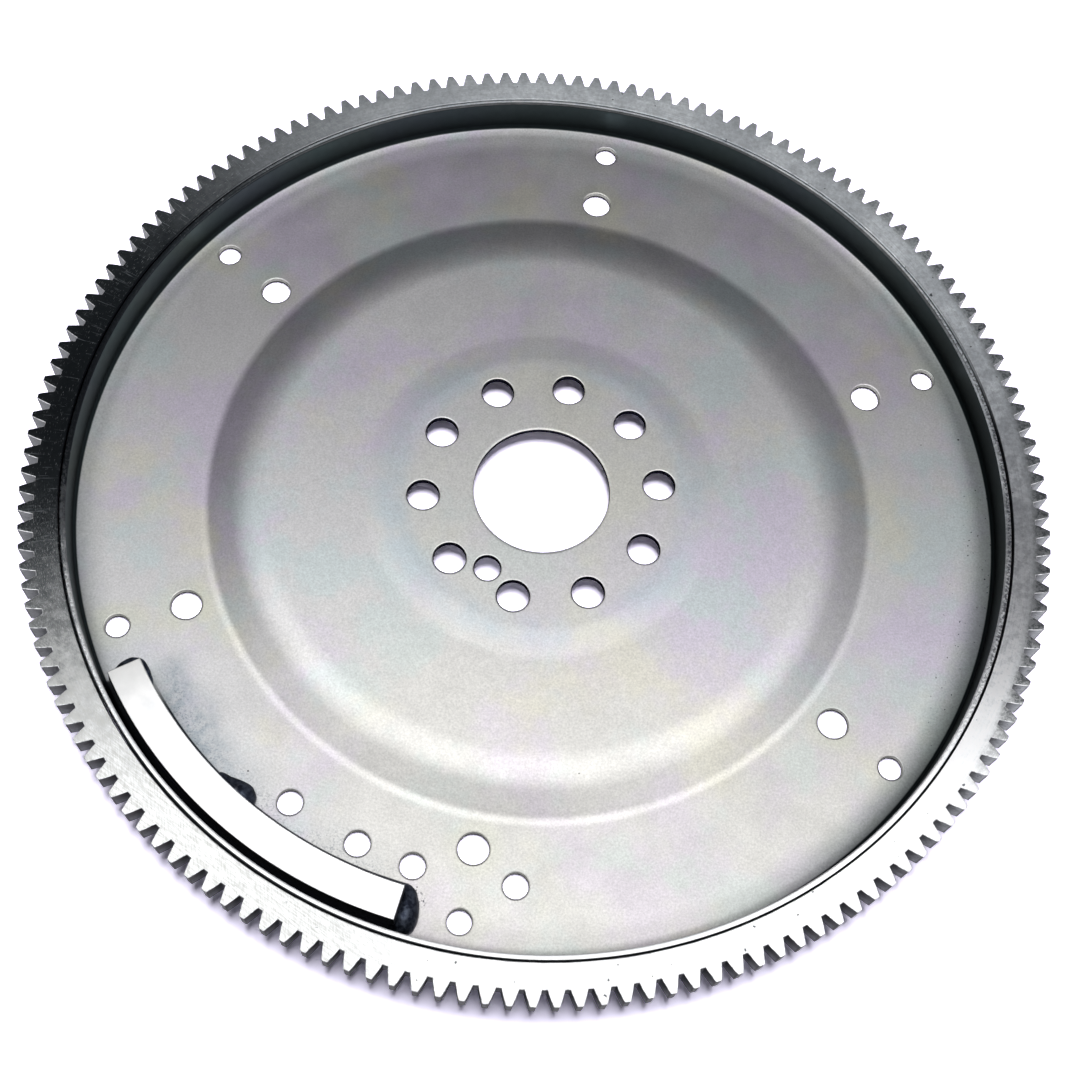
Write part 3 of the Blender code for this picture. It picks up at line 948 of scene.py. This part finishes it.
weldSettings = {
    "foot": 0.0021,
    "grain": 0.00035,
    "lump": 0.00028,
    "crust": 0.00022,
    # Each puddle is radius and angle about the bar's bend centre, then half sizes along, across and up
    "inner": (
        (0.1606, 235.6, 0.0034, 0.0026, 0.0032),
        (0.1606, 236.6, 0.0038, 0.0034, 0.0044),
        (0.1604, 237.9, 0.0040, 0.0048, 0.0056),
        (0.1604, 239.0, 0.0040, 0.0056, 0.0060),
        (0.1606, 240.0, 0.0028, 0.0046, 0.0050),
    ),
    "left": (
        (0.1731, 216.4, 0.0032, 0.0020, 0.0018),
        (0.1706, 216.3, 0.0038, 0.0028, 0.0024),
        (0.1678, 216.12, 0.0047, 0.0034, 0.0026),
        (0.1650, 216.08, 0.0048, 0.0034, 0.0026),
        (0.1628, 216.2, 0.0039, 0.0028, 0.0026),
        (0.1614, 217.1, 0.0040, 0.0016, 0.0026),
        (0.1613, 218.1, 0.0036, 0.0011, 0.0020),
    ),
    "right": (
        (0.1600, 263.9, 0.0026, 0.0020, 0.0030),
        (0.1620, 264.1, 0.0038, 0.0030, 0.0046),
        (0.1648, 264.3, 0.0048, 0.0036, 0.0058),
        (0.1676, 264.45, 0.0052, 0.0038, 0.0064),
        (0.1704, 264.5, 0.0053, 0.0038, 0.0064),
        (0.1730, 264.5, 0.0048, 0.0034, 0.0054),
        (0.1750, 264.4, 0.0038, 0.0024, 0.0040),
    ),
    "spatter": {
        "inner": ((0.1552, 232.9, 0.0004), (0.1540, 235.2, 0.0003), (0.1530, 238.0, 0.00035)),
        "left": ((0.1570, 216.0, 0.0003),),
        "right": ((0.1590, 265.1, 0.00035), (0.1603, 265.6, 0.0003), (0.1622, 266.3, 0.0004),
                  (0.1640, 266.6, 0.0003), (0.1612, 265.95, 0.00028), (0.1617, 266.15, 0.00025),
                  (0.1631, 266.25, 0.0003), (0.1629, 266.5, 0.00025), (0.1644, 266.35, 0.00025),
                  (0.1598, 265.75, 0.00025)),
    },
}


def addPuddle(centre, bend, degrees, half, foot):
    bpy.ops.mesh.primitive_ico_sphere_add(subdivisions=3, radius=1, location=(0, 0, 0))
    puddle = bpy.context.object
    puddle.scale = (half[1], half[0], half[2])
    puddle.rotation_euler = (0, 0, math.radians(degrees))
    spot = centre + ringPoint(bend, degrees)
    puddle.location = (spot.x, spot.y, foot)
    setPlace(puddle)
    return puddle


def spreadPuddles(puddles, between):
    # Puts more puddles between each pair, so that the bead swells and thins without scallops
    spread = []
    for before, after in zip(puddles, puddles[1:]):
        for step in range(between):
            share = step / between
            spread.append(tuple(first + (second - first) * share for first, second in zip(before, after)))
    return spread + [puddles[-1]]


def meltTogether(puddles, grain, factor, rounds):
    # Puddles become one closed skin, smoothed
    melted = joinAll(puddles)
    melt = melted.modifiers.new("melt", "REMESH")
    melt.mode = "VOXEL"
    melt.voxel_size = grain
    applyModifier(melted, "melt")
    soften = melted.modifiers.new("soften", "SMOOTH")
    soften.factor = factor
    soften.iterations = rounds
    applyModifier(melted, "soften")
    return melted


def roughen(piece, name, size, depth, strength):
    clouds = bpy.data.textures.new(name, "CLOUDS")
    clouds.noise_scale = size
    clouds.noise_depth = depth
    lumps = piece.modifiers.new("lumps", "DISPLACE")
    lumps.texture = clouds
    lumps.texture_coords = "LOCAL"
    lumps.strength = strength
    lumps.mid_level = 0.5
    applyModifier(piece, "lumps")


def cutFlush(piece, height, keepAbove):
    startEdit(piece, "FACE")
    bpy.ops.mesh.select_all(action="SELECT")
    bpy.ops.mesh.bisect(plane_co=(0, 0, height), plane_no=(0, 0, 1), use_fill=True, clear_inner=keepAbove,
                        clear_outer=not keepAbove)
    bpy.ops.mesh.select_all(action="SELECT")
    bpy.ops.mesh.normals_make_consistent(inside=False)
    endEdit()
    smoothPiece(piece, 60)


def makeBead(settings, key, name, replaced, material):
    # Overlapping puddles are melted into one bead, then cut flush with the sheet
    centre = barPlace["centre"]
    foot = settings["foot"]
    parts = [addPuddle(centre, bend, degrees, half, foot + 0.0004)
             for bend, degrees, *half in spreadPuddles(settings[key], 3)]
    parts += [addPuddle(centre, bend, degrees, (size, size, size), foot + 0.0003)
              for bend, degrees, size in settings["spatter"][key]]
    bead = meltTogether(parts, settings["grain"], 0.6, 26)
    roughen(bead, name + "Lumps", 0.0036, 3, settings["lump"])
    roughen(bead, name + "Scale", 0.0014, 2, settings["crust"])
    cutFlush(bead, foot, True)
    finishPiece(bead, name, material, "burnt_weld", replaced)


def makeBurntWeld():
    # Scale on a weld: blue-black glass with paler slag
    bench = newBench("burntWeld")
    place = bench.objectSpace()[0]
    patches = bench.noise(place, 420, 4, 0.65)
    slag = bench.noise(place, 180, 3, 0.6)
    colour = bench.mix((patches, 0.4, 0.62), (0.028, 0.034, 0.052), (0.088, 0.103, 0.135))
    colour = bench.paint(colour, (0.22, 0.235, 0.27), (slag, 0.63, 0.72, 0, 0.55))
    return bench.finishMetal(colour, (patches, 0.3, 0.7, 0.36, 0.56, False), patches, 0.2, 0.0004)


burntWeld = makeBurntWeld()
makeBead(weldSettings, "inner", "innerWeld", "weight_weld_inner", burntWeld)
makeBead(weldSettings, "left", "leftEndWeld", "weight_weld_left_end", burntWeld)
makeBead(weldSettings, "right", "rightEndWeld", "weight_weld_right_end", burntWeld)


# Stitch welds behind the ring

stitchSettings = {
    "count": 8,
    "start": 7.5,
    "length": 0.0260,
    "puddles": 13,
    "radius": 0.1851,
    "height": 0.0077,
    "half": (0.0029, 0.0019, 0.0031),
    "ceiling": 0.0084,
    "grain": 0.0004,
}


def makeStitch(settings):
    # A row of rippled puddles in the corner of the ring's back and the flange, cut at the ring's back
    sweep = math.degrees(settings["length"] / settings["radius"])
    parts = []
    for index in range(settings["puddles"]):
        share = index / (settings["puddles"] - 1)
        angle = settings["start"] + sweep * (share - 0.5) * 0.88
        swell = 1 - 0.28 * abs(2 * share - 1) ** 3
        half = [size * swell for size in settings["half"]]
        parts.append(addPuddle(Vector((0, 0, 0)), settings["radius"], angle, half, settings["height"]))
    stitch = meltTogether(parts, settings["grain"], 0.5, 3)
    cutFlush(stitch, settings["ceiling"], False)
    return stitch


def placeStitches(settings, material):
    first = makeStitch(settings)
    for index in range(settings["count"]):
        piece = first
        if index:
            piece = first.copy()
            piece.data = first.data.copy()
            bpy.context.collection.objects.link(piece)
            piece.data.transform(Matrix.Rotation(math.tau * index / settings["count"], 4, "Z"))
        number = str(index + 1)
        finishPiece(piece, "ringStitch" + number, material, "ring_weld", "ring_weld_" + number)


placeStitches(stitchSettings, burntWeld)


# Floor, lamp and surroundings

roomSettings = {
    "floorSize": 8.0,
    "floorColour": (0.20, 0.19, 0.22),
    "floorLift": (1.30, 1.24, 1.52),
    "floorMirrored": (0.66, 0.66, 0.68),
    "floorFar": (0.5, 1.4),
    "lampHeight": 2.6,
    "panelSize": (3.574, 1.861),
    "panelPlace": (0.036, 0.002),
    "panelTurn": 0.032,
    "panelPower": 50.1,
    "tableSize": 1.3,
    "tablePlace": (-0.04, 0.45),
    "tablePower": 84.0,
    "roomColour": (0.92, 0.92, 1.0),
    "roomLeft": 0.108,
    "roomRight": 0.353,
    "roomEdges": (-0.061, 1.096),
    "roomShade": 0.4,
    "horizon": (0.28, 0.10),
}


def makeFloor(settings):
    # A pale table whose lit part reads as white to the eye, and which keeps its shadows
    deselectAll()
    bpy.ops.mesh.primitive_plane_add(size=settings["floorSize"], location=(0, 0, -0.0002))
    floor = bpy.context.object
    floor.name = "paleTable"
    bench = newBench("paleTable")
    path = bench.add("ShaderNodeLightPath").outputs
    mirrored = bench.math("ADD", path["Is Glossy Ray"], path["Is Transmission Ray"], clamp=True)
    mirroredLift = bench.mix(mirrored, (0, 0, 0), settings["floorMirrored"])
    plain = bench.add("ShaderNodeBsdfDiffuse")
    bench.feed(plain.inputs["Color"], settings["floorColour"])
    lifted = bench.add("ShaderNodeBsdfDiffuse")
    bench.feed(lifted.inputs["Color"], bench.mix(path["Is Camera Ray"], mirroredLift, settings["floorLift"]))
    # Away from the object the table turns plain white to the eye and in reflections
    x, y = bench.objectSpace()[1:3]
    seen = bench.math("ADD", path["Is Camera Ray"], mirrored, clamp=True)
    far = bench.add("ShaderNodeEmission")
    white = bench.times(bench.remap(bench.reach(x, y), *settings["floorFar"]), seen)
    bench.feed(far.inputs["Strength"], white)
    whole = plain
    for extra in (lifted, far):
        both = bench.add("ShaderNodeAddShader")
        bench.link(whole.outputs[0], both.inputs[0])
        bench.link(extra.outputs[0], both.inputs[1])
        whole = both
    bench.link(whole.outputs[0], bench.tree.nodes["Material Output"].inputs["Surface"])
    floor.data.materials.append(bench.owner)


def makeLight(settings):
    # A wide soft panel that the metal mirrors, and a smaller lamp over it that lights the table and casts the
    # shadows. The dim room is a little lighter to the right
    deselectAll()
    x, y = settings["panelPlace"]
    bpy.ops.object.light_add(type="AREA", location=(x, y, settings["lampHeight"]),
                             rotation=(0, 0, settings["panelTurn"]))
    panel = bpy.context.object
    panel.name = "softPanel"
    panel.data.shape = "RECTANGLE"
    panel.data.size, panel.data.size_y = settings["panelSize"]
    panel.data.energy = settings["panelPower"]
    panel.visible_diffuse = False
    x, y = settings["tablePlace"]
    bpy.ops.object.light_add(type="AREA", location=(x, y, settings["lampHeight"] - 0.05))
    lamp = bpy.context.object
    lamp.name = "tableLamp"
    lamp.data.shape = "DISK"
    lamp.data.size = settings["tableSize"]
    lamp.data.energy = settings["tablePower"]
    lamp.visible_glossy = False
    world = bpy.data.worlds.new("studio")
    bpy.context.scene.world = world
    bench = NodeBench(world)
    background = bench.tree.nodes["Background"]
    parts = bench.add("ShaderNodeSeparateXYZ")
    bench.link(bench.add("ShaderNodeTexCoord").outputs["Generated"], parts.inputs[0])
    path = bench.add("ShaderNodeLightPath").outputs
    seen = bench.math("MAXIMUM", bench.plus(path["Is Camera Ray"], path["Is Glossy Ray"]),
                      path["Is Transmission Ray"])
    level = bench.remap(parts.outputs[0], *settings["roomEdges"], settings["roomLeft"], settings["roomRight"])
    room = bench.times(level, (seen, 0, 1, settings["roomShade"], 1))
    # A white backdrop stands along the horizon
    backdrop = bench.times(bench.remap(parts.outputs[2], *settings["horizon"]), seen)
    bench.feed(background.inputs["Strength"], bench.math("MAXIMUM", room, backdrop))
    colour = bench.mix(path["Is Camera Ray"], settings["roomColour"], (1, 1, 1))
    bench.feed(background.inputs["Color"], colour)


makeFloor(roomSettings)
makeLight(roomSettings)
bpy.context.scene.view_settings.view_transform = "Standard"
print("floor and lamp set")
